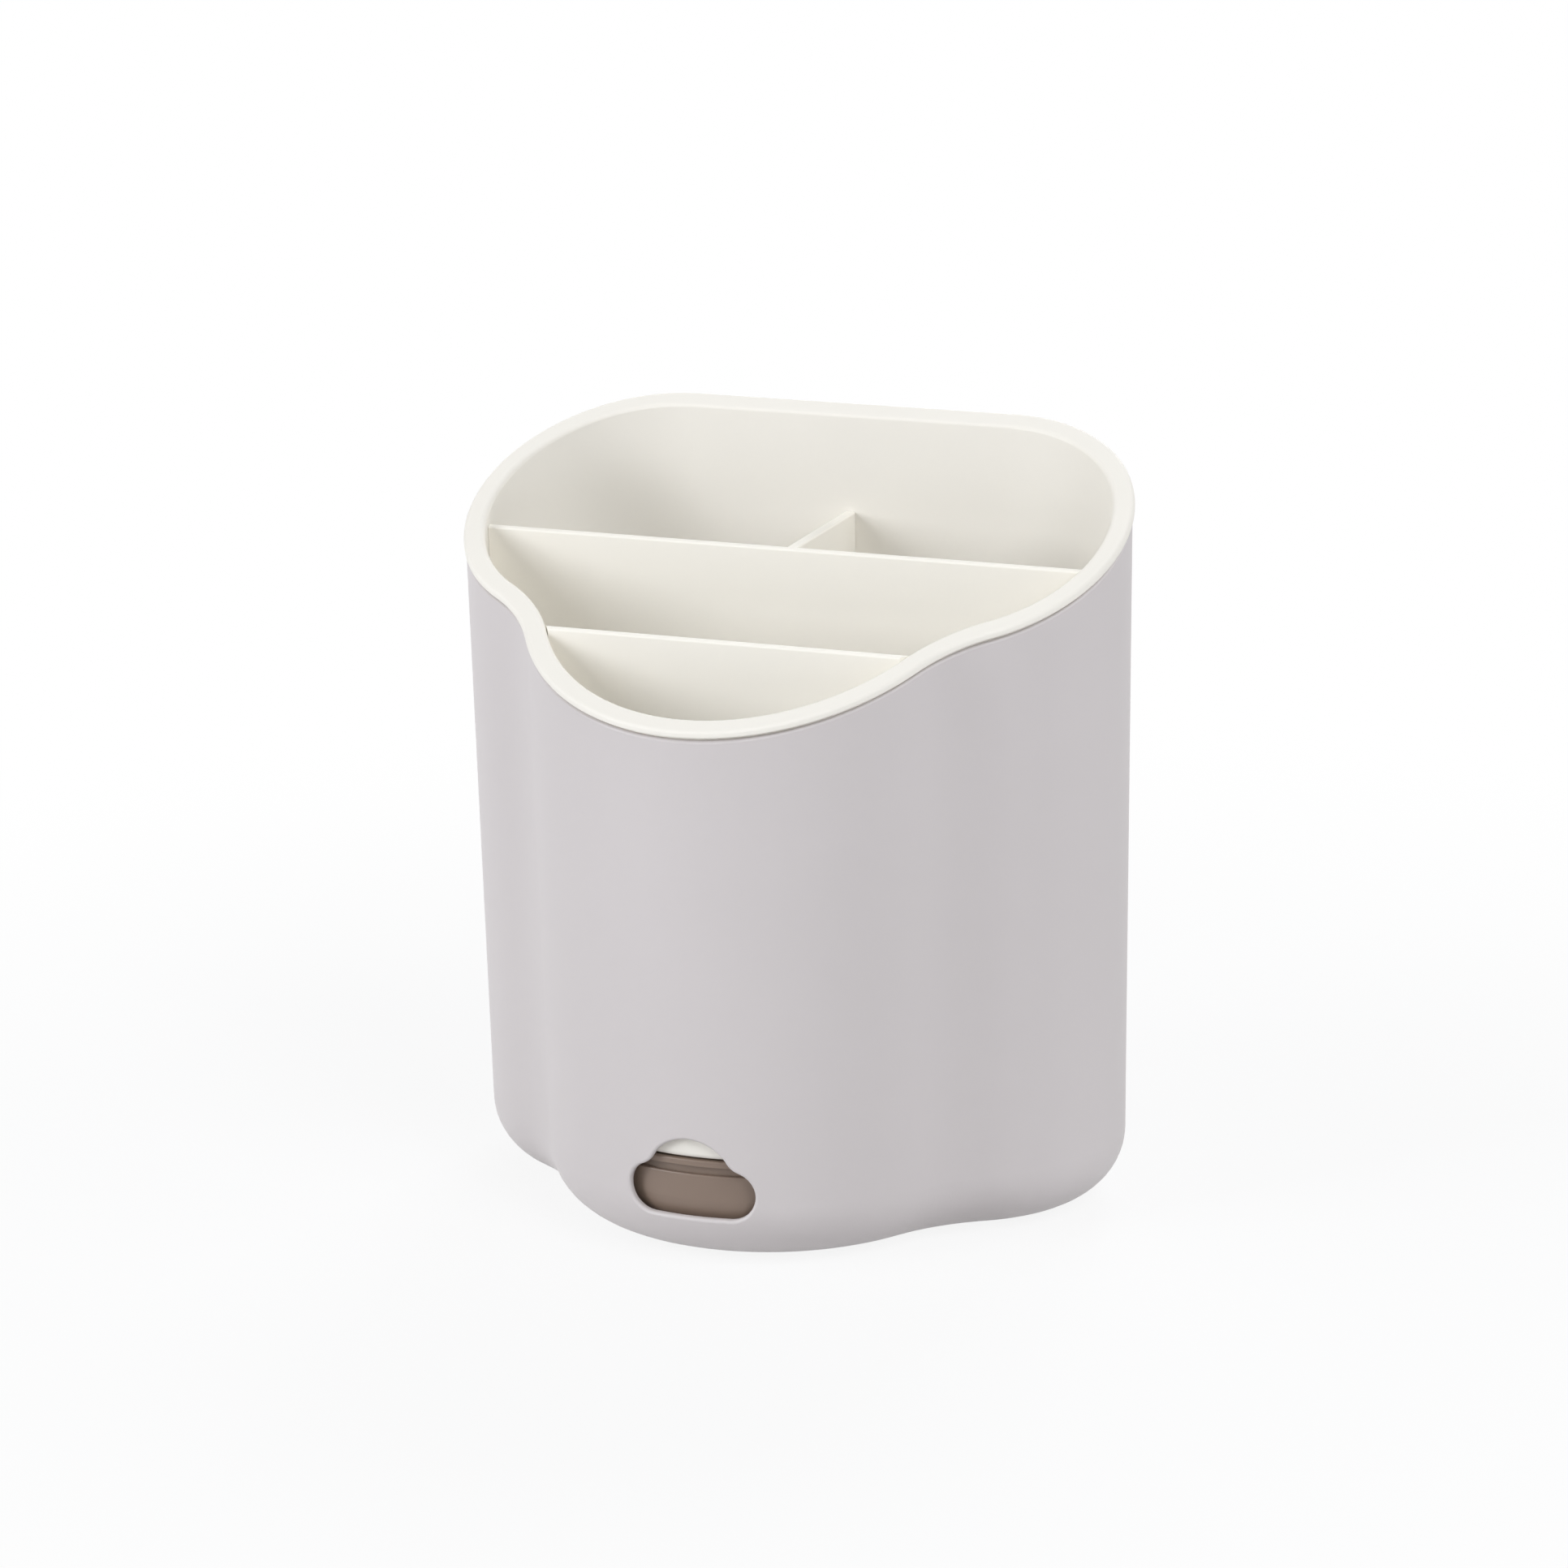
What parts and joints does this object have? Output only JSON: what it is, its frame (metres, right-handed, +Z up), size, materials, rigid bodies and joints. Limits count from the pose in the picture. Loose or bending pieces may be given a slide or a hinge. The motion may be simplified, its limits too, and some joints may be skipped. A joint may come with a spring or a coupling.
{
  "type": "chopstick and cutlery holder",
  "caption": "Slant-topped chopstick and cutlery holder: outer casing with a cloud-shaped drain window, lift-out liner with drop-in dividers, and a drip tray.",
  "frame": {"origin": "middle of the footprint, on the surface that the pads stand on", "axes": "+Z up, -Y out of the front where the cloud window is, +X to the right seen from the front"},
  "size_m": [0.151, 0.1071, 0.1669],
  "materials": {
    "casing_grey": "fine satin, warm light grey",
    "liner_white": "satin, warm white",
    "tray_taupe": "satin, taupe",
    "pad_rubber": "matte, soft"
  },
  "bodies": {
    "casing": {"outer_casing": "casing_grey", "back_left_pad": "pad_rubber", "back_right_pad": "pad_rubber", "front_left_pad": "pad_rubber", "front_right_pad": "pad_rubber"},
    "liner": {"inner_liner": "liner_white"},
    "tray": {"drip_tray": "tray_taupe"},
    "long_plate": {"long_divider": "liner_white"},
    "front_plate": {"front_divider": "liner_white"},
    "short_plate": {"short_divider": "liner_white"}
  },
  "joints": [
    {"name": "liner_lift", "type": "slide", "parent": "casing", "child": "liner", "axis": [0, 0, 1], "range_m": [0, 0.34]},
    {"name": "tray_lift", "type": "slide", "parent": "casing", "child": "tray", "axis": [0, 0, 1], "range_m": [0, 0.17]},
    {"name": "long_divider_lift", "type": "slide", "parent": "liner", "child": "long_plate", "axis": [0, 0, 1], "range_m": [0, 0.145]},
    {"name": "short_divider_lift", "type": "slide", "parent": "liner", "child": "short_plate", "axis": [0, 0, 1], "range_m": [0, 0.145]},
    {"name": "front_divider_lift", "type": "slide", "parent": "liner", "child": "front_plate", "axis": [0, 0, 1], "range_m": [0, 0.125]}
  ],
  "couplings": [
    {"joint": "tray_lift", "follows": "liner_lift", "ratio": 0.5}
  ]
}
